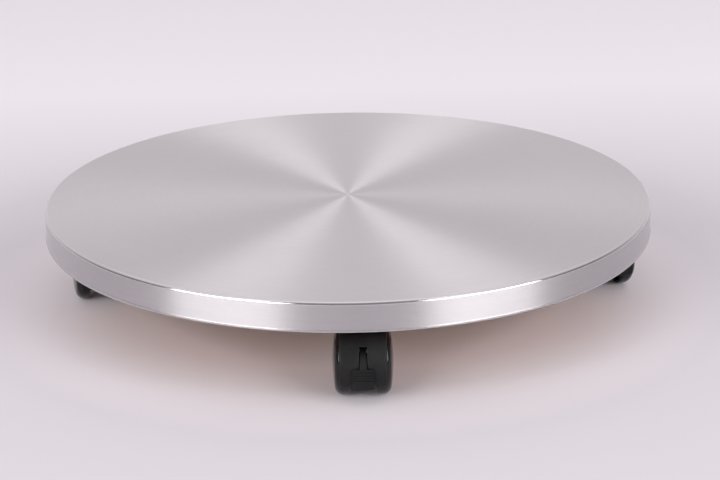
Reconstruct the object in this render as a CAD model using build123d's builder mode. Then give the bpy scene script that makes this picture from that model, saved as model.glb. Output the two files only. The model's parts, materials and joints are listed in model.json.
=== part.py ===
from build123d import *
import os
from math import asin, cos, degrees, radians, sin

# A round rolling platform: a steel-skinned disc on four hooded twin-wheel swivel casters, two of
# them with a foot brake. Millimetres, +Z up, origin on the floor under the centre of the disc.

# Driving dimensions of the platform
DISC_RADIUS = 200.0
HEIGHT = 64.0
SHEET = 0.8
EDGE_RADIUS = 2.0
RIM_HEIGHT = 18.7
HEM_RADIUS = 1.0
HEM_WIDTH = 3.0
BEAD = 0.4
BEAD_RADIUS = 0.55
BEAD_SIDE = 0.8
BEAD_HEIGHT = 1.7
BOARD_THICKNESS = 15.0
BOARD_GAP = 0.2
BOARD_CHAMFER = 2.0

# Driving dimensions of the casters; a caster is drawn about its own swivel axis, trailing along -Y
SWIVEL_RADIUS = 169.0
TRAIL = 12.0
WHEEL_RADIUS = 20.0
WHEEL_OUTER = 18.0
WHEEL_INNER = 7.85
WHEEL_WALL = 2.0
DOME_RADIUS = 100.0
HUB_RADIUS = 5.0
AXLE_RADIUS = 2.5
AXLE_HALF = 13.2
RUNNING_GAP = 0.05
AXLE_HEIGHT = WHEEL_RADIUS
TREAD_END = 11.75
DOME_EDGE = 15.7
TREAD_CHAMFER = 0.5
SPOKES = 8
SPOKE_THICKNESS = 1.2
SPOKE_START = 12.3

HOOD_RADIUS = 22.0
HOOD_WALL = 1.5
HOOD_HALF = 14.0
HOOD_FRONT = -25.0
HOOD_REAR = 190.0
HOOD_CORNER = 3.0
HOOD_ROUND = 1.2
WEB_HALF = 7.3
BOSS_RADIUS = 6.0
OVERLAP = 0.7
RIB_HALF = 2.0
RIB_START = 97.0

UNDERSIDE = HEIGHT - SHEET - BOARD_THICKNESS
PLATE_HALF = 19.0
PLATE_THICKNESS = 2.0
PLATE_CORNER = 5.0
PLATE_BASE = UNDERSIDE - PLATE_THICKNESS
SCREW_PITCH = 27.0
SCREW_RADIUS = 2.0
SCREW_LENGTH = 12.0
SCREW_HEAD_RADIUS = 3.8
SCREW_HEAD_HEIGHT = 1.8
SCREW_SLOT = 1.0

STEM_RADIUS = 4.0
STEM_BOTTOM = 23.0
STEM_FLANGE_RADIUS = 7.5
STEM_FLANGE = 1.5
WASHER_THICKNESS = 1.0
WASHER_RADIUS = 8.0
SOCKET_RADIUS = 7.3
SOCKET_BOTTOM = 21.5
SOCKET_FLANGE_RADIUS = 8.5
SOCKET_FLANGE = 1.6
SOCKET_TOP = PLATE_BASE - STEM_FLANGE - WASHER_THICKNESS - 0.05
RING_HEIGHT = 25.5
RING_THICKNESS = 1.0
RING_INNER = 3.4
RING_OUTER = 4.8
RING_ROOM = 0.3

# Brake, in polar places about the axle: radius, and degrees above the front horizontal
CUT_END = HOOD_FRONT - 10
SLOT_TOP = 42.0
SLOT_TOP_HALF = 2.25
SLOT_LOW_HALF = 3.0
SLOT_DEPTH = 10.0
SLOT_ROUND = 0.4
NOTCH_HALF = 8.3
NOTCH_TOP = -19.0
PIVOT = (14.5, 47.0)
SHOE = (15.7, 72.0)
SHOE_RADIUS = 2.0
SHOE_HALF = 10.8
EYE_RADIUS = 3.2
PIN_RADIUS = 1.5
PIN_HALF = 5.6
CHEEK_INNER = 2.5
CHEEK_OUTER = 5.4
CHEEK_HALF = 2.8
CAVITY_RADIUS = BOSS_RADIUS + 0.4
CAVITY_LOW = 20.0
CAVITY_HIGH = RIB_START - 4
EYE_HALF = 2.0
ARM_TOP_HALF = 1.7
ARM_LOW_HALF = 2.25
ARM_BEND = (20.2, 28.0)
ARM_HEEL = (18.6, 5.0)
ARM_FOOT = 0.0
PAD_INNER = 22.3
PAD_OUTER = 23.6
PAD_TOP = 9.0
PAD_BOTTOM = -23.0
PAD_HALF = 6.4
PAD_CORNER = 0.9
PAD_THICKEST = 2.5
LIP_OUTER = 24.2
LIP_TOP = -13.0
FIRST_RIDGE = 6.5
RIDGE_RADIUS = 0.5
RIDGE_STEP = 4.0
RIDGE_INSET = 0.3
RIDGES = 5

# Each caster: its direction from the centre of the disc, how far it is swivelled, and its brake
CASTERS = {
    "front": (-90.0, -2.5, True),
    "right": (0.5, 9.0, False),
    "rear": (90.0, 7.0, True),
    "left": (178.0, 9.0, False),
}

AXLE_CENTRE = (-TRAIL, AXLE_HEIGHT)


def around_axle(radius, angle):
    """A point of the (Y, Z) plane, by its polar place about the axle, degrees up from the front."""
    return (
        -TRAIL - radius * cos(radians(angle)),
        AXLE_HEIGHT + radius * sin(radians(angle)),
    )


def sector(inner, outer, low, high):
    """Closed outline between two radii and two directions about the axle, for a BuildLine."""
    far = CenterArc(AXLE_CENTRE, outer, 180.0 - high, high - low)
    near = CenterArc(AXLE_CENTRE, inner, 180.0 - high, high - low)
    Line(near @ 0, far @ 0)
    Line(near @ 1, far @ 1)


def taper(top_half, low_half, top, low):
    """Closed front view of a slot or arm that widens downwards, between two hood directions."""
    top_z = around_axle(HOOD_RADIUS, top)[1]
    low_z = around_axle(HOOD_RADIUS, low)[1]
    Polyline(
        (-top_half, top_z), (top_half, top_z), (low_half, low_z), (-low_half, low_z), close=True
    )


def screw_places():
    """Centres of the four screws of a caster plate."""
    return GridLocations(SCREW_PITCH, SCREW_PITCH, 2, 2)


def top_pan():
    """Spun steel skin: flat face, rounded edge, rim wall, and a bead and hem at the bottom."""
    rim_base = HEIGHT - RIM_HEIGHT
    inner_radius = DISC_RADIUS - SHEET
    bead_edge = DISC_RADIUS + BEAD
    with BuildPart() as pan:
        with BuildSketch(Plane.XZ):
            with BuildLine():
                face = Line((0, HEIGHT), (DISC_RADIUS - EDGE_RADIUS, HEIGHT))
                edge = TangentArc(face @ 1, (DISC_RADIUS, HEIGHT - EDGE_RADIUS), tangent=face % 1)
                wall = Line(edge @ 1, (DISC_RADIUS, rim_base + BEAD_HEIGHT))
                flare = Line(wall @ 1, (bead_edge, rim_base + BEAD_SIDE))
                side = Line(flare @ 1, (bead_edge, rim_base + BEAD_RADIUS))
                turn = TangentArc(side @ 1, (bead_edge - BEAD_RADIUS, rim_base), tangent=side % 1)
                hem = Line(turn @ 1, (DISC_RADIUS - HEM_WIDTH, rim_base))
                end = Line(hem @ 1, (DISC_RADIUS - HEM_WIDTH, rim_base + SHEET))
                back = Line(end @ 1, (DISC_RADIUS - HEM_RADIUS, rim_base + SHEET))
                turn_in = TangentArc(back @ 1, (inner_radius, rim_base + HEM_RADIUS), tangent=(1, 0))
                wall_in = Line(turn_in @ 1, (inner_radius, HEIGHT - EDGE_RADIUS))
                edge_in = TangentArc(
                    wall_in @ 1, (DISC_RADIUS - EDGE_RADIUS, HEIGHT - SHEET), tangent=(0, 1)
                )
                Polyline(edge_in @ 1, (0, HEIGHT - SHEET), (0, HEIGHT))
            make_face()
        revolve(axis=Axis.Z)
    return pan.part


def core_board():
    """Board that fills the pan, with its upper edge broken to clear the bend of the skin."""
    with BuildPart() as board:
        with BuildSketch(Plane.XY.offset(UNDERSIDE)):
            Circle(DISC_RADIUS - SHEET - BOARD_GAP)
        extrude(amount=BOARD_THICKNESS)
        chamfer(board.edges().group_by(Axis.Z)[-1], BOARD_CHAMFER)
        for direction, _, _ in CASTERS.values():
            with Locations(Plane(caster_place(direction, 0.0))):
                with Locations((0, 0, UNDERSIDE)):
                    with screw_places():
                        Cylinder(
                            SCREW_RADIUS,
                            SCREW_LENGTH - PLATE_THICKNESS,
                            align=(Align.CENTER, Align.CENTER, Align.MIN),
                            mode=Mode.SUBTRACT,
                        )
    return board.part


def mount_plate():
    """Stamped steel plate, rounded, with four screw holes and the hole for the riveted stem."""
    with BuildPart() as plate:
        with BuildSketch(Plane.XY.offset(PLATE_BASE)):
            RectangleRounded(2 * PLATE_HALF, 2 * PLATE_HALF, PLATE_CORNER)
            Circle(STEM_RADIUS, mode=Mode.SUBTRACT)
            with screw_places():
                Circle(SCREW_RADIUS + 0.3, mode=Mode.SUBTRACT)
        extrude(amount=PLATE_THICKNESS)
        rim = plate.edges().group_by(Axis.Z)[0].filter_by(lambda e: e.length < 2 * PLATE_HALF)
        chamfer(rim.sort_by(SortBy.DISTANCE)[-8:], 0.4)
    return plate.part


def plate_screws():
    """Four pan-head wood screws, driven up through the plate into the board."""
    with BuildPart() as screws:
        with screw_places():
            with Locations((0, 0, PLATE_BASE)):
                Cylinder(SCREW_RADIUS, SCREW_LENGTH, align=(Align.CENTER, Align.CENTER, Align.MIN))
                Cylinder(
                    SCREW_HEAD_RADIUS,
                    SCREW_HEAD_HEIGHT,
                    align=(Align.CENTER, Align.CENTER, Align.MAX),
                )
        heads = screws.edges().group_by(Axis.Z)[0]
        fillet(heads, 1.2)
        with BuildSketch(Plane.XY.offset(PLATE_BASE - SCREW_HEAD_HEIGHT)):
            with screw_places():
                Rectangle(SCREW_HEAD_RADIUS, SCREW_SLOT)
                Rectangle(SCREW_SLOT, SCREW_HEAD_RADIUS)
        extrude(amount=SCREW_SLOT, mode=Mode.SUBTRACT)
    return screws.part


def kingpin():
    """Swivel stem: riveted in the plate, with a bearing flange and a groove near its lower end."""
    with BuildPart() as pin:
        with BuildSketch(Plane.XY.offset(STEM_BOTTOM)):
            Circle(STEM_RADIUS)
        extrude(amount=UNDERSIDE - STEM_BOTTOM)
        chamfer(pin.edges().group_by(Axis.Z)[0], 0.6)
        with BuildSketch(Plane.XY.offset(PLATE_BASE)):
            Circle(STEM_FLANGE_RADIUS)
        extrude(amount=-STEM_FLANGE)
        with BuildSketch(Plane.XY.offset(RING_HEIGHT)):
            Circle(STEM_RADIUS + 0.1)
            Circle(RING_INNER, mode=Mode.SUBTRACT)
        extrude(amount=RING_THICKNESS, mode=Mode.SUBTRACT)
    return pin.part


def thrust_washer():
    """Washer between the stem flange and the top of the housing."""
    with BuildPart() as washer:
        with BuildSketch(Plane.XY.offset(PLATE_BASE - STEM_FLANGE)):
            Circle(WASHER_RADIUS)
            Circle(STEM_RADIUS + 0.1, mode=Mode.SUBTRACT)
        extrude(amount=-WASHER_THICKNESS)
    return washer.part


def retaining_ring():
    """Split spring ring that sits in the groove of the stem."""
    with BuildPart() as ring:
        with BuildSketch(Plane.XY.offset(RING_HEIGHT)):
            Circle(RING_OUTER)
            Circle(RING_INNER, mode=Mode.SUBTRACT)
            with Locations((0, RING_OUTER)):
                Rectangle(1.4, 2 * RING_OUTER, mode=Mode.SUBTRACT)
        extrude(amount=RING_THICKNESS)
    return ring.part


def hood_face(body):
    """The outer round face of the hood, while it is being built."""
    cylinders = body.faces().filter_by(GeomType.CYLINDER)
    return cylinders.filter_by(lambda f: abs(f.radius - HOOD_RADIUS) < 0.01)


def housing(braked):
    """Moulded hood over both wheels, with the axle boss, the stem socket and the rib between."""
    hood_inner = HOOD_RADIUS - HOOD_WALL
    with BuildPart() as body:
        with BuildSketch(Plane.YZ):
            with BuildLine():
                sector(hood_inner, HOOD_RADIUS, HOOD_FRONT, HOOD_REAR)
            make_face()
        extrude(amount=HOOD_HALF, both=True)
        ends = body.edges().filter_by(lambda e: abs(e.length - HOOD_WALL) < 0.01)
        fillet(ends, HOOD_CORNER)
        fillet(hood_face(body).edges(), HOOD_ROUND)
        if braked:
            cheek_end = hood_inner + OVERLAP
            with BuildSketch(Plane.YZ):
                with Locations(Location((*AXLE_CENTRE, 0), (0, 0, 180.0 - PIVOT[1]))):
                    with Locations((cheek_end / 2, 0)):
                        Rectangle(cheek_end, 2 * CHEEK_HALF)
            extrude(amount=CHEEK_OUTER, both=True)
            with BuildSketch(Plane.XZ.offset(TRAIL + SLOT_DEPTH)):
                with BuildLine():
                    taper(SLOT_TOP_HALF, SLOT_LOW_HALF, SLOT_TOP, CUT_END)
                make_face()
            extrude(amount=HOOD_RADIUS, mode=Mode.SUBTRACT)
            with BuildSketch(Plane.YZ):
                with BuildLine():
                    sector(hood_inner - 1, HOOD_RADIUS + 1, CUT_END, NOTCH_TOP)
                make_face()
            extrude(amount=NOTCH_HALF, both=True, mode=Mode.SUBTRACT)
            rims = hood_face(body).edges()
            fillet(rims.filter_by(lambda e: abs(e.center().X) < SLOT_LOW_HALF + 0.1), SLOT_ROUND)
        with BuildSketch(Plane.YZ):
            with Locations(AXLE_CENTRE):
                Circle(BOSS_RADIUS)
        extrude(amount=WEB_HALF, both=True)
        with BuildSketch(Plane.YZ):
            with BuildLine():
                sector(BOSS_RADIUS - OVERLAP, hood_inner + OVERLAP, RIB_START, HOOD_REAR - 1)
            make_face()
        extrude(amount=RIB_HALF, both=True)
        if braked:
            with BuildSketch(Plane.YZ):
                with BuildLine():
                    sector(CAVITY_RADIUS, hood_inner, CAVITY_LOW, CAVITY_HIGH)
                make_face()
            extrude(amount=CHEEK_INNER, both=True, mode=Mode.SUBTRACT)
            with BuildSketch(Plane.YZ):
                with Locations(around_axle(*PIVOT)):
                    Circle(PIN_RADIUS)
            extrude(amount=CHEEK_OUTER, both=True, mode=Mode.SUBTRACT)
        with BuildSketch(Plane.XY.offset(SOCKET_BOTTOM)):
            Circle(SOCKET_RADIUS)
        extrude(amount=SOCKET_TOP - SOCKET_BOTTOM)
        with BuildSketch(Plane.XY.offset(SOCKET_TOP)):
            Circle(SOCKET_FLANGE_RADIUS)
        extrude(amount=-SOCKET_FLANGE)
        with BuildSketch(Plane.YZ):
            with Locations(AXLE_CENTRE):
                Circle(AXLE_RADIUS)
        extrude(amount=WEB_HALF, both=True, mode=Mode.SUBTRACT)
        with BuildSketch(Plane.XY.offset(SOCKET_BOTTOM)):
            Circle(STEM_RADIUS + RUNNING_GAP)
        extrude(amount=SOCKET_TOP - SOCKET_BOTTOM, mode=Mode.SUBTRACT)
        with BuildSketch(Plane.XY.offset(RING_HEIGHT - RING_ROOM)):
            Circle(RING_OUTER + RING_ROOM)
        extrude(amount=RING_THICKNESS + 2 * RING_ROOM, mode=Mode.SUBTRACT)
    return body.part


def axle():
    """Steel pin fixed in the housing, with both wheels on its ends."""
    with BuildPart() as pin:
        with BuildSketch(Plane.YZ):
            with Locations(AXLE_CENTRE):
                Circle(AXLE_RADIUS)
        extrude(amount=AXLE_HALF, both=True)
        chamfer(pin.edges().filter_by(GeomType.CIRCLE), 0.4)
    return pin.part


def wheel(side):
    """Domed wheel, open towards the middle, with its hub and ribs; side is +1 or -1 along X."""
    dome_angle = degrees(asin(DOME_EDGE / DOME_RADIUS))
    floor_inside = WHEEL_OUTER - WHEEL_WALL
    rim_inside = WHEEL_RADIUS - WHEEL_WALL
    with BuildPart() as body:
        with BuildSketch(Plane.XY):
            with BuildLine():
                tread = Polyline(
                    (WHEEL_INNER, rim_inside),
                    (WHEEL_INNER, WHEEL_RADIUS - TREAD_CHAMFER),
                    (WHEEL_INNER + TREAD_CHAMFER, WHEEL_RADIUS),
                    (TREAD_END, WHEEL_RADIUS),
                )
                dome = CenterArc((WHEEL_OUTER - DOME_RADIUS, 0), DOME_RADIUS, 0, dome_angle)
                TangentArc(tread @ 1, dome @ 1, tangent=(1, 0))
                Polyline(
                    dome @ 0,
                    (floor_inside, 0),
                    (floor_inside, HUB_RADIUS),
                    (floor_inside - 0.6, 11.5),
                    (13.8, 16.4),
                    (TREAD_END, rim_inside),
                    (WHEEL_INNER, rim_inside),
                )
            make_face()
        revolve(axis=Axis.X)
        with BuildSketch(Plane.YZ.offset(WHEEL_INNER)):
            Circle(HUB_RADIUS)
        extrude(amount=floor_inside + OVERLAP - WHEEL_INNER)
        with BuildSketch(Plane.YZ.offset(SPOKE_START)):
            with PolarLocations((HUB_RADIUS + rim_inside) / 2 - 1, SPOKES):
                Rectangle(rim_inside - HUB_RADIUS, SPOKE_THICKNESS)
        extrude(amount=floor_inside - SPOKE_START + 0.1)
        with BuildSketch(Plane.YZ.offset(WHEEL_INNER)):
            Circle(AXLE_RADIUS + RUNNING_GAP)
        extrude(amount=AXLE_HALF + 0.3 - WHEEL_INNER, mode=Mode.SUBTRACT)
    turned = body.part if side > 0 else body.part.mirror(Plane.YZ)
    return turned.moved(Location((0, -TRAIL, AXLE_HEIGHT)))


def brake_pin():
    """Steel pin on which the brake lever turns."""
    with BuildPart() as pin:
        with BuildSketch(Plane.YZ):
            with Locations(around_axle(*PIVOT)):
                Circle(PIN_RADIUS)
        extrude(amount=PIN_HALF, both=True)
    return pin.part


def brake_lever():
    """Ribbed foot pad on an arm through the slot, and the shoe bar that reaches into both wheels."""
    pivot = around_axle(*PIVOT)
    shoe = around_axle(*SHOE)
    with BuildPart() as lever:
        with BuildSketch(Plane.YZ):
            with BuildLine():
                top = ThreePointArc(
                    around_axle(PIVOT[0] + EYE_RADIUS, PIVOT[1]),
                    around_axle(*ARM_BEND),
                    around_axle(PAD_OUTER, PAD_TOP),
                )
                Polyline(
                    top @ 1,
                    around_axle(PAD_INNER, ARM_FOOT),
                    around_axle(*ARM_HEEL),
                    around_axle(PIVOT[0] - EYE_RADIUS, PIVOT[1]),
                    top @ 0,
                )
            make_face()
        extrude(amount=ARM_LOW_HALF, both=True)
        with BuildSketch(Plane.XZ):
            with BuildLine():
                taper(ARM_TOP_HALF, ARM_LOW_HALF, PIVOT[1], ARM_FOOT)
            make_face()
        extrude(amount=2 * HOOD_RADIUS, mode=Mode.INTERSECT)
        with BuildSketch(Plane.YZ):
            with Locations(pivot):
                Circle(EYE_RADIUS)
            with Locations(shoe):
                Circle(SHOE_RADIUS)
            make_hull()
        extrude(amount=EYE_HALF, both=True)
        with BuildSketch(Plane.YZ):
            with Locations(shoe):
                Circle(SHOE_RADIUS)
        extrude(amount=SHOE_HALF, both=True)
        with BuildSketch(Plane.YZ):
            with Locations(pivot):
                Circle(PIN_RADIUS + RUNNING_GAP)
        extrude(amount=EYE_HALF, both=True, mode=Mode.SUBTRACT)
        add(brake_pad())
    return lever.part


def brake_pad():
    """The foot pad: a curved plate with rounded corners, gripping ridges and a lip to lift it by."""
    with BuildPart() as pad:
        with BuildSketch(Plane.YZ):
            with BuildLine():
                upper = CenterArc(AXLE_CENTRE, PAD_OUTER, 180.0 - PAD_TOP, PAD_TOP - LIP_TOP)
                lip = Line(upper @ 1, around_axle(LIP_OUTER, PAD_BOTTOM))
                under = Line(lip @ 1, around_axle(PAD_INNER, PAD_BOTTOM))
                back = CenterArc(AXLE_CENTRE, PAD_INNER, 180.0 - PAD_TOP, PAD_TOP - PAD_BOTTOM)
                Line(back @ 0, upper @ 0)
            make_face()
        extrude(amount=PAD_HALF, both=True)
        fillet(pad.edges().filter_by(lambda e: e.length < PAD_THICKEST), PAD_CORNER)
        with BuildSketch(Plane.YZ):
            for step in range(RIDGES):
                with Locations(around_axle(PAD_OUTER, FIRST_RIDGE - step * RIDGE_STEP)):
                    Circle(RIDGE_RADIUS)
        extrude(amount=PAD_HALF - RIDGE_INSET, both=True)
    return pad.part


def caster_place(direction, swivel):
    """Where a caster's swivel axis meets the floor, turned by its swivel angle."""
    x = SWIVEL_RADIUS * cos(radians(direction))
    y = SWIVEL_RADIUS * sin(radians(direction))
    return Location((x, y, 0), (0, 0, swivel))


def save(piece, name):
    """Label a finished piece and write it as its own STEP file."""
    piece.label = name
    export_step(piece, f"parts/{name}.step")


def main():
    os.makedirs("parts", exist_ok=True)
    save(top_pan(), "top_pan")
    save(core_board(), "core_board")
    fixed = {
        "mount_plate": mount_plate(),
        "plate_screws": plate_screws(),
        "kingpin": kingpin(),
        "retaining_ring": retaining_ring(),
        "thrust_washer": thrust_washer(),
    }
    wheels = {"axle": axle(), "wheel_left": wheel(-1), "wheel_right": wheel(1)}
    brake = {"brake_lever": brake_lever(), "brake_pin": brake_pin()}
    hoods = {braked: housing(braked) for braked in (False, True)}
    for corner, (direction, swivel, braked) in CASTERS.items():
        turning = {"housing": hoods[braked], **wheels}
        if braked:
            turning.update(brake)
        for name, piece in fixed.items():
            save(piece.moved(caster_place(direction, 0.0)), f"{corner}_{name}")
        for name, piece in turning.items():
            save(piece.moved(caster_place(direction, swivel)), f"{corner}_{name}")


main()
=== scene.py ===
"""Round rolling platform: brushed stainless deck on four hooded twin-wheel casters."""
import json
from math import cos, pi, radians, sin

import bmesh
import bpy
from mathutils import Matrix, Vector


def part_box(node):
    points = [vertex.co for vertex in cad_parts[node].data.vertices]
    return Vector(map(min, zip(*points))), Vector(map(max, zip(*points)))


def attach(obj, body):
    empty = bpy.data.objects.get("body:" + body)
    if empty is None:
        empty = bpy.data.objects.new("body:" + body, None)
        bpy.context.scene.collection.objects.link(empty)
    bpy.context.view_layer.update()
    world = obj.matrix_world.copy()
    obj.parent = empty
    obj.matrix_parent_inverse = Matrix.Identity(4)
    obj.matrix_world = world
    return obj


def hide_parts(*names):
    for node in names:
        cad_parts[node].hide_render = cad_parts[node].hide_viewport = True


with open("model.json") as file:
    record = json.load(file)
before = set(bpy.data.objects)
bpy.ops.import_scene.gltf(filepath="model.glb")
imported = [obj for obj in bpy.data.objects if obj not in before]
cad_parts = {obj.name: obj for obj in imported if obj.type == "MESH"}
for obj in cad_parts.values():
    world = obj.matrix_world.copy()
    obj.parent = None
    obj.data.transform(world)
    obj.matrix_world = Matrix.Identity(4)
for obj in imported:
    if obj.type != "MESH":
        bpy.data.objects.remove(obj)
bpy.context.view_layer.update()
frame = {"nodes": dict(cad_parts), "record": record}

NODES = frame["nodes"]
MM = 0.001

# The deck's skin; the bead at the foot of its wall is what stands out furthest
DECK_LOW, DECK_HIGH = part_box("top_pan")
SHEET = 0.8 * MM
EDGE = 2.0 * MM
HEM = 1.0 * MM
HEM_WIDTH = 3.0 * MM
BEAD = 0.4 * MM
BEAD_ROUND = 0.55 * MM
BEAD_SIDE = 0.8 * MM
BEAD_TOP = 1.7 * MM
DECK_RADIUS = DECK_HIGH.x - BEAD
DECK_TOP = DECK_HIGH.z
DECK_BASE = DECK_LOW.z
DECK_SEGMENTS = 360
FACE_RINGS = (0.2, 0.4, 0.6, 0.8, 0.95, 0.985)
WALL_MARGIN = 0.3 * MM
SMOOTH_ANGLE = 35.0

# Values between which most of a noise pattern lies
NOISE_LOW = 0.3
NOISE_HIGH = 0.7

# Looks of the two black plastics: grained for hoods and levers, glossy for the wheels
GRAINED_BLACK = {
    "dark": (0.006, 0.006, 0.0065),
    "light": (0.014, 0.0135, 0.0135),
    "smooth": 0.45,
    "rough": 0.6,
    "shine": 0.24,
    "grain": 0.03 * MM,
}
GLOSSY_BLACK = {
    "dark": (0.005, 0.005, 0.0055),
    "light": (0.011, 0.0105, 0.011),
    "smooth": 0.08,
    "rough": 0.16,
    "shine": 0.3,
    "grain": 0.004 * MM,
}

# The floor, in metres: painted shade under the deck, a soft ring of painted light below its edge, its
# own colour around it, and painted light far back
FLOOR_UNDER_PAINTED_SHADE = (0.60, 0.565, 0.575)
FLOOR_EDGE_PAINTED_LIGHT = (0.875, 0.825, 0.865)
FLOOR_NEAR = (0.645, 0.617, 0.645)
FLOOR_FAR_PAINTED_LIGHT = (0.90, 0.86, 0.895)
FLOOR_REACH = (0.06, 0.30)
FLOOR_BACK = (0.1, 0.5)
FLOOR_SIZE = 12.0
FLOOR_CELLS = 8

# The room: its light, and what is left of it at the sides, above the camera and overhead
ROOM_COLOUR = (0.96, 0.918, 0.955, 1.0)
ROOM_BRIGHT = 0.82
ROOM_SIDE = 0.15
ROOM_FRONT = 0.35
ROOM_OVER = 1.3
SIDE_FALL = 4.0
FRONT_WAY = (0.0, -0.77, 0.64)
FRONT_CONE = (0.72, 0.92)
OVER_HEIGHT = (0.55, 0.95)

# Softboxes in pairs: degrees to each side, degrees up, metres away, metres wide and high, watts.
# The arm lights draw the star on the deck's face, and the rim lights the bright bands on its wall.
SOFTBOXES = {
    "arm": (49, 50, 2.4, 0.26, 1.3, 1.6),
    "rim": (46, 20, 2.2, 1.6, 1.0, 26.5),
}

# The camera: angles in degrees, and its place in deck radii from the centre of the face
CAMERA_BEARING = 2.53
CAMERA_AIM = 0.335
CAMERA_PITCH = -19.443
CAMERA_ROLL = -0.683
CAMERA_BACK = 6.5498
CAMERA_RISE = 2.1502
CAMERA_LENS = 103.42
CAMERA_SENSOR = 36.0
CAMERA_NEAR = 0.05
CAMERA_FAR = 50.0


# ---------------------------------------------------------------- node helpers


class Graph:
    """A node tree of a material or a world, with short calls for the nodes that are used here."""

    def __init__(self, owner, shader="Principled BSDF"):
        owner.use_nodes = True
        self.owner = owner
        self.nodes = owner.node_tree.nodes
        self.links = owner.node_tree.links
        self.shader = self.nodes[shader]

    def link(self, value, socket):
        """Joins an output to an input, or sets the input to a plain value."""
        if isinstance(value, bpy.types.NodeSocket):
            self.links.new(value, socket)
        else:
            socket.default_value = value

    def set(self, **inputs):
        """Fills the shader's inputs by their names, with _ for a space."""
        for name, value in inputs.items():
            self.link(value, self.shader.inputs[name.replace("_", " ")])

    def place(self):
        """The point on the piece, in its own metres."""
        return self.nodes.new("ShaderNodeTexCoord").outputs["Object"]

    def math(self, operation, first, second=0.0):
        node = self.nodes.new("ShaderNodeMath")
        node.operation = operation
        self.link(first, node.inputs[0])
        self.link(second, node.inputs[1])
        return node.outputs[0]

    def vector(self, operation, first, second=(0.0, 0.0, 0.0)):
        node = self.nodes.new("ShaderNodeVectorMath")
        node.operation = operation
        self.link(first, node.inputs[0])
        self.link(second, node.inputs[1])
        return node.outputs["Value" if operation in ("LENGTH", "DOT_PRODUCT") else "Vector"]

    def weigh(self, share, first, second):
        """Sum of two values by their shares; a share of 1 gives the first."""
        kept = self.math("MULTIPLY", first, share)
        return self.math("ADD", kept, self.math("MULTIPLY", second, 1.0 - share))

    def split(self, vector):
        node = self.nodes.new("ShaderNodeSeparateXYZ")
        self.link(vector, node.inputs[0])
        return node.outputs

    def join(self, x, y, z):
        node = self.nodes.new("ShaderNodeCombineXYZ")
        for socket, value in zip(node.inputs, (x, y, z)):
            self.link(value, socket)
        return node.outputs[0]

    def noise(self, where, scale, detail=3.0, roughness=0.5, distortion=0.0):
        node = self.nodes.new("ShaderNodeTexNoise")
        self.link(where, node.inputs["Vector"])
        node.inputs["Scale"].default_value = scale
        node.inputs["Detail"].default_value = detail
        node.inputs["Roughness"].default_value = roughness
        node.inputs["Distortion"].default_value = distortion
        return node.outputs["Fac"]

    def streaks(self, where, scales, **looks):
        """Noise with its own scale along each axis."""
        return self.noise(self.vector("MULTIPLY", where, scales), 1.0, **looks)

    def cells(self, where, scale):
        node = self.nodes.new("ShaderNodeTexVoronoi")
        self.link(where, node.inputs["Vector"])
        node.inputs["Scale"].default_value = scale
        return node.outputs["Distance"]

    def span(self, value, low, high, to_low=0.0, to_high=1.0):
        """Maps a range of values to another, and stops at its ends."""
        node = self.nodes.new("ShaderNodeMapRange")
        for socket, given in zip(node.inputs, (value, low, high, to_low, to_high)):
            self.link(given, socket)
        return node.outputs[0]

    def ramp(self, value, *stops):
        """Colour ramp; each stop is (position, (red, green, blue))."""
        node = self.nodes.new("ShaderNodeValToRGB")
        self.link(value, node.inputs[0])
        ends = node.color_ramp.elements
        while len(ends) < len(stops):
            ends.new(0.5)
        for end, (position, colour) in zip(ends, stops):
            end.position = position
            end.color = (*colour, 1.0)
        return node.outputs[0]

    def blend(self, share, first, second):
        """Mixes two colours; a share of 1 gives the second."""
        node = self.nodes.new("ShaderNodeMix")
        node.data_type = "RGBA"
        for socket, value in zip((node.inputs[0], *node.inputs[6:8]), (share, first, second)):
            self.link(value, socket)
        return node.outputs[2]

    def bump(self, height, distance):
        node = self.nodes.new("ShaderNodeBump")
        self.link(height, node.inputs["Height"])
        node.inputs["Distance"].default_value = distance
        node.inputs["Strength"].default_value = 1.0
        self.link(node.outputs[0], self.shader.inputs["Normal"])


# ---------------------------------------------------------------- materials


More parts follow.
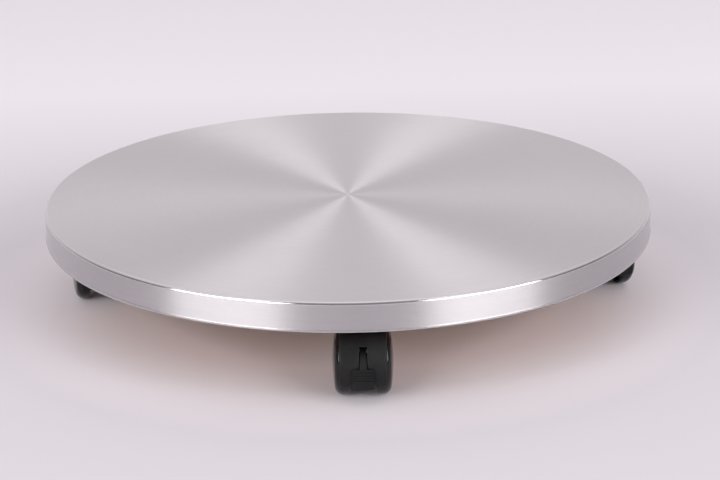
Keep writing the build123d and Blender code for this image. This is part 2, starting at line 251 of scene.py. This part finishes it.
def brushed_stainless():
    """Steel brushed in circles about the middle of the deck, on its face and along its wall.

    The rounded edge and the bead are smoother, and the wall and the bead a little darker in painted
    shade.
    """
    graph = Graph(bpy.data.materials.new("brushed_stainless"))
    x, y, z = graph.split(graph.place())
    flat = graph.join(x, y, 0.0)
    radius = graph.vector("LENGTH", flat)
    heading_x, heading_y, _ = graph.split(graph.vector("NORMALIZE", flat))
    across = graph.math("SUBTRACT", radius, z)

    def lines(turns, pitch):
        """Place in the brushing: slow around the deck, and one unit to a pitch across it."""
        around_x = graph.math("MULTIPLY", heading_x, turns)
        around_y = graph.math("MULTIPLY", heading_y, turns)
        return graph.join(around_x, around_y, graph.math("DIVIDE", across, pitch))

    fine = graph.noise(lines(12.0, 0.6 * MM), 1.0, detail=4.0, roughness=0.75)
    coarse = graph.noise(lines(4.0, 4.0 * MM), 1.0, detail=3.0, roughness=0.6)
    cloud = graph.noise(graph.place(), 9.0, detail=4.0)
    tone = graph.weigh(0.8, fine, coarse)
    steel = graph.ramp(tone, (0.25, (0.65, 0.628, 0.64)), (0.75, (0.72, 0.697, 0.71)))

    outside = graph.span(radius, DECK_RADIUS - EDGE, DECK_RADIUS - 0.7 * EDGE)
    above = graph.span(z, DECK_TOP - EDGE, DECK_TOP - 0.9 * EDGE)
    below = graph.span(z, DECK_BASE + 1.6 * MM, DECK_BASE + 1.2 * MM)
    rounding = graph.math("MULTIPLY", outside, above)
    wall = graph.math("SUBTRACT", outside, rounding)
    polished = graph.math("MAXIMUM", rounding, below)

    # Painted shade: the wall's base colour is darkened to 0.93 and the bead's to 0.85 of the face's,
    # in place of dimmer reflections there.
    painted_wall_shade = graph.span(wall, 0.0, 1.0, 1.0, 0.93)
    shade = graph.math("SUBTRACT", painted_wall_shade, graph.math("MULTIPLY", below, 0.08))
    brushed = graph.span(tone, NOISE_LOW, NOISE_HIGH, 0.335, 0.365)
    clouded = graph.span(cloud, NOISE_LOW, NOISE_HIGH, -0.02, 0.03)
    polish = graph.span(polished, 0.0, 1.0, 1.0, 0.36)
    graph.set(
        Base_Color=graph.vector("MULTIPLY", steel, graph.join(shade, shade, shade)),
        Metallic=1.0,
        Roughness=graph.math("MULTIPLY", graph.math("ADD", brushed, clouded), polish),
        Anisotropic=0.95,
        Anisotropic_Rotation=0.25,
    )
    tangent = graph.nodes.new("ShaderNodeTangent")
    tangent.direction_type = "RADIAL"
    tangent.axis = "Z"
    graph.link(tangent.outputs[0], graph.shader.inputs["Tangent"])
    graph.bump(fine, 0.02 * MM)
    return graph.owner


def raw_board():
    """Brown fibre board: pressed face with short crossing fibres and slow clouds of colour."""
    graph = Graph(bpy.data.materials.new("raw_board"))
    place = graph.place()
    fibre = graph.streaks(place, (260.0, 900.0, 900.0), roughness=0.6)
    crossing = graph.streaks(place, (900.0, 300.0, 900.0), roughness=0.6)
    cloud = graph.noise(place, 14.0, detail=5.0)
    tone = graph.weigh(0.65, graph.math("MAXIMUM", fibre, crossing), cloud)
    dark, middle, light = (0.30, 0.14, 0.06), (0.44, 0.235, 0.11), (0.56, 0.34, 0.18)
    graph.set(
        Base_Color=graph.ramp(tone, (0.3, dark), (0.5, middle), (0.72, light)),
        Roughness=graph.span(tone, NOISE_LOW, NOISE_HIGH, 0.85, 0.68),
    )
    graph.bump(tone, 0.12 * MM)
    return graph.owner


def zinc_plate():
    """Bright zinc on stamped steel, with a faint spangle, dull patches and handling scratches."""
    graph = Graph(bpy.data.materials.new("zinc_plate"))
    place = graph.place()
    spangle = graph.cells(place, 700.0)
    cloud = graph.noise(place, 120.0, detail=5.0)
    scratch = graph.streaks(place, (200.0, 4000.0, 4000.0), detail=2.0)
    tone = graph.weigh(0.7, cloud, spangle)
    wear = graph.math("ADD", tone, graph.math("MULTIPLY", scratch, 0.4))
    graph.set(
        Base_Color=graph.ramp(tone, (0.3, (0.46, 0.47, 0.49)), (0.6, (0.62, 0.63, 0.66))),
        Metallic=1.0,
        Roughness=graph.span(wear, 0.4, 0.9, 0.26, 0.46),
    )
    graph.bump(scratch, 0.02 * MM)
    return graph.owner


def oiled_spring_steel():
    """Dark oiled steel of the snap ring."""
    graph = Graph(bpy.data.materials.new("oiled_spring_steel"))
    cloud = graph.noise(graph.place(), 300.0, detail=4.0)
    dark, light = (0.03, 0.03, 0.035), (0.10, 0.09, 0.085)
    graph.set(
        Base_Color=graph.ramp(cloud, (NOISE_LOW, dark), (NOISE_HIGH, light)),
        Metallic=1.0,
        Roughness=graph.span(cloud, NOISE_LOW, NOISE_HIGH, 0.32, 0.5),
    )
    graph.bump(cloud, 0.02 * MM)
    return graph.owner


def natural_nylon():
    """Milky nylon of the thrust washer."""
    graph = Graph(bpy.data.materials.new("natural_nylon"))
    cloud = graph.noise(graph.place(), 250.0)
    dark, light = (0.66, 0.63, 0.55), (0.78, 0.76, 0.69)
    graph.set(
        Base_Color=graph.ramp(cloud, (NOISE_LOW, dark), (NOISE_HIGH, light)),
        Roughness=graph.span(cloud, NOISE_LOW, NOISE_HIGH, 0.4, 0.55),
        Subsurface_Weight=0.1,
    )
    graph.bump(cloud, 0.03 * MM)
    return graph.owner


def moulded_black(name, dark, light, smooth, rough, shine, grain):
    """Black moulded nylon: fine spark grain, slow flow marks and a paler bloom of dust."""
    graph = Graph(bpy.data.materials.new(name))
    place = graph.place()
    spark = graph.noise(place, 1600.0, detail=2.0, roughness=0.6)
    flow = graph.streaks(place, (60.0, 60.0, 25.0), detail=4.0, distortion=0.6)
    dust = graph.noise(place, 420.0, detail=5.0, roughness=0.7)
    tone = graph.weigh(0.6, flow, dust)
    graph.set(
        Base_Color=graph.ramp(tone, (0.35, dark), (0.7, light)),
        Roughness=graph.span(tone, 0.35, 0.65, smooth, rough),
        Specular_IOR_Level=shine,
    )
    graph.bump(spark, grain)
    return graph.owner


def pale_floor():
    """Pale studio floor with painted light at the back and in a soft ring below the deck's edge, and
    painted shade under the deck.
    """
    graph = Graph(bpy.data.materials.new("pale_floor"))
    place = graph.place()
    _, y, _ = graph.split(place)
    # Painted shade under the deck, then a ring of painted light below its edge, then the floor's own
    # colour around it
    near = graph.ramp(
        graph.span(graph.vector("LENGTH", place), *FLOOR_REACH),
        (0.0, FLOOR_UNDER_PAINTED_SHADE),
        (0.36, FLOOR_EDGE_PAINTED_LIGHT),
        (0.45, FLOOR_EDGE_PAINTED_LIGHT),
        (0.80, FLOOR_NEAR),
    )
    # Painted light: the floor is blended lighter towards the back
    graph.set(
        Base_Color=graph.blend(graph.span(y, *FLOOR_BACK), near, (*FLOOR_FAR_PAINTED_LIGHT, 1.0)),
        Roughness=0.8,
        Specular_IOR_Level=0.15,
    )
    return graph.owner


# ---------------------------------------------------------------- meshes


def mesh_object(name, shape, material):
    """Turns a bmesh into an object with one material, smooth but for its real edges."""
    mesh = bpy.data.meshes.new(name)
    bmesh.ops.recalc_face_normals(shape, faces=shape.faces)
    shape.to_mesh(mesh)
    shape.free()
    mesh.shade_smooth()
    mesh.set_sharp_from_angle(angle=radians(SMOOTH_ANGLE))
    mesh.materials.append(material)
    piece = bpy.data.objects.new(name, mesh)
    bpy.context.scene.collection.objects.link(piece)
    return piece


def lathe(profile, segments):
    """Spins a closed outline of (radius, height) about Z; points on the axis become poles."""
    shape = bmesh.new()
    turns = [2 * pi * i / segments for i in range(segments)]
    rings = []
    for radius, height in profile:
        if radius == 0.0:
            rings.append([shape.verts.new((0.0, 0.0, height))])
        else:
            points = [(radius * cos(turn), radius * sin(turn), height) for turn in turns]
            rings.append([shape.verts.new(point) for point in points])
    for low, high in zip(rings, rings[1:] + rings[:1]):
        for i in range(segments):
            j = (i + 1) % segments
            corners = [low[i % len(low)], low[j % len(low)], high[j % len(high)], high[i % len(high)]]
            face = list(dict.fromkeys(corners))
            if len(face) > 2:
                shape.faces.new(face)
    return shape


def arc(centre, radius, start, end, steps):
    """Points of an arc in the (radius, height) plane, from start to end degrees."""
    angles = [radians(start + (end - start) * i / steps) for i in range(steps + 1)]
    return [(centre[0] + radius * cos(angle), centre[1] + radius * sin(angle)) for angle in angles]


def deck_skin(material):
    """Spun steel skin with a finer edge, bead and hem than the CAD mesh has."""
    edge_centre = (DECK_RADIUS - EDGE, DECK_TOP - EDGE)
    bead_centre = (DECK_RADIUS + BEAD - BEAD_ROUND, DECK_BASE + BEAD_ROUND)
    hem_centre = (DECK_RADIUS - HEM, DECK_BASE + HEM)
    hem_end = DECK_RADIUS - HEM_WIDTH
    profile = [
        (0.0, DECK_TOP),
        *((DECK_RADIUS * share, DECK_TOP) for share in FACE_RINGS),
        *arc(edge_centre, EDGE, 90, 0, 12),
        (DECK_RADIUS, DECK_TOP - EDGE - WALL_MARGIN),
        (DECK_RADIUS, DECK_BASE + BEAD_TOP + WALL_MARGIN),
        (DECK_RADIUS, DECK_BASE + BEAD_TOP),
        (DECK_RADIUS + BEAD, DECK_BASE + BEAD_SIDE),
        *arc(bead_centre, BEAD_ROUND, 0, -90, 6),
        (hem_end, DECK_BASE),
        (hem_end, DECK_BASE + SHEET),
        *arc(hem_centre, HEM - SHEET, -90, 0, 3),
        *arc(edge_centre, EDGE - SHEET, 0, 90, 6),
        (0.0, DECK_TOP - SHEET),
    ]
    return mesh_object("deck_skin", lathe(profile, DECK_SEGMENTS), material)


# ---------------------------------------------------------------- stage, lights and camera


def camera():
    """Long-lens camera in front of the deck, a little to the left of the front caster."""
    bearing = radians(CAMERA_BEARING)
    heading = radians(CAMERA_BEARING + CAMERA_AIM)
    pitch = radians(CAMERA_PITCH)
    roll = radians(CAMERA_ROLL)
    back = CAMERA_BACK * DECK_RADIUS
    height = DECK_TOP + CAMERA_RISE * DECK_RADIUS
    forward = Vector((sin(heading) * cos(pitch), cos(heading) * cos(pitch), sin(pitch)))
    level = Vector((cos(heading), -sin(heading), 0.0))
    upright = level.cross(forward)
    right = cos(roll) * level + sin(roll) * upright
    up = cos(roll) * upright - sin(roll) * level
    turn = Matrix((right, up, -forward)).transposed().to_4x4()
    data = bpy.data.cameras.new("camera")
    data.lens = CAMERA_LENS
    data.sensor_width = CAMERA_SENSOR
    data.clip_start = CAMERA_NEAR
    data.clip_end = CAMERA_FAR
    view = bpy.data.objects.new("camera", data)
    view.matrix_world = Matrix.Translation((-back * sin(bearing), -back * cos(bearing), height)) @ turn
    bpy.context.scene.collection.objects.link(view)
    bpy.context.scene.camera = view


def softbox(name, azimuth, elevation, distance, width, height, power):
    """Area light aimed at the deck; azimuth 0 is over the camera and 90 is on the right."""
    data = bpy.data.lights.new(name, "AREA")
    data.shape = "RECTANGLE"
    data.size = width
    data.size_y = height
    data.energy = power
    turn, lift = radians(azimuth), radians(elevation)
    away = Vector((sin(turn) * cos(lift), -cos(turn) * cos(lift), sin(lift)))
    light = bpy.data.objects.new(name, data)
    light.location = away * distance + Vector((0, 0, DECK_TOP))
    light.rotation_mode = "QUATERNION"
    light.rotation_quaternion = away.to_track_quat("Z", "Y")
    bpy.context.scene.collection.objects.link(light)


def room():
    """Pale room: brightest overhead, darker at both sides and high above the camera."""
    graph = Graph(bpy.data.worlds.new("room"), "Background")
    way = graph.nodes.new("ShaderNodeTexCoord").outputs["Generated"]
    x, _, z = graph.split(way)
    sideways = graph.math("POWER", graph.math("ABSOLUTE", x), SIDE_FALL)
    side = graph.span(sideways, 0.0, 1.0, 1.0, ROOM_SIDE)
    front = graph.span(graph.vector("DOT_PRODUCT", way, FRONT_WAY), *FRONT_CONE, 1.0, ROOM_FRONT)
    over = graph.span(z, *OVER_HEIGHT, 1.0, ROOM_OVER)
    level = graph.math("MULTIPLY", graph.math("MULTIPLY", side, front), over)
    graph.set(Color=ROOM_COLOUR, Strength=graph.math("MULTIPLY", level, ROOM_BRIGHT))
    return graph.owner


def stage():
    """Wide floor, pale room and both pairs of soft lights."""
    grid = bmesh.new()
    bmesh.ops.create_grid(grid, x_segments=FLOOR_CELLS, y_segments=FLOOR_CELLS, size=FLOOR_SIZE)
    floor = mesh_object("floor", grid, pale_floor())
    bpy.context.scene.world = room()
    for side, sign in (("left", -1), ("right", 1)):
        for kind, (azimuth, *rest) in SOFTBOXES.items():
            softbox(f"{kind}_{side}", sign * azimuth, *rest)
    bpy.context.scene.view_settings.view_transform = "Standard"


# ---------------------------------------------------------------- assembly


def dress():
    """Gives every CAD node the material of its slot in the record."""
    materials = {
        "brushed_stainless": brushed_stainless(),
        "board": raw_board(),
        "zinc_steel": zinc_plate(),
        "spring_steel": oiled_spring_steel(),
        "nylon": natural_nylon(),
        "black_nylon": moulded_black("black_nylon", **GRAINED_BLACK),
        "black_wheel": moulded_black("black_wheel", **GLOSSY_BLACK),
    }
    for part in frame["record"]["subparts"]:
        mesh = NODES[part["node"]].data
        mesh.materials.clear()
        mesh.materials.append(materials[part["material_slot"]])
    return materials


camera()
stage()
MATERIALS = dress()
skin = deck_skin(MATERIALS["brushed_stainless"])
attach(skin, "platform")
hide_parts("top_pan")
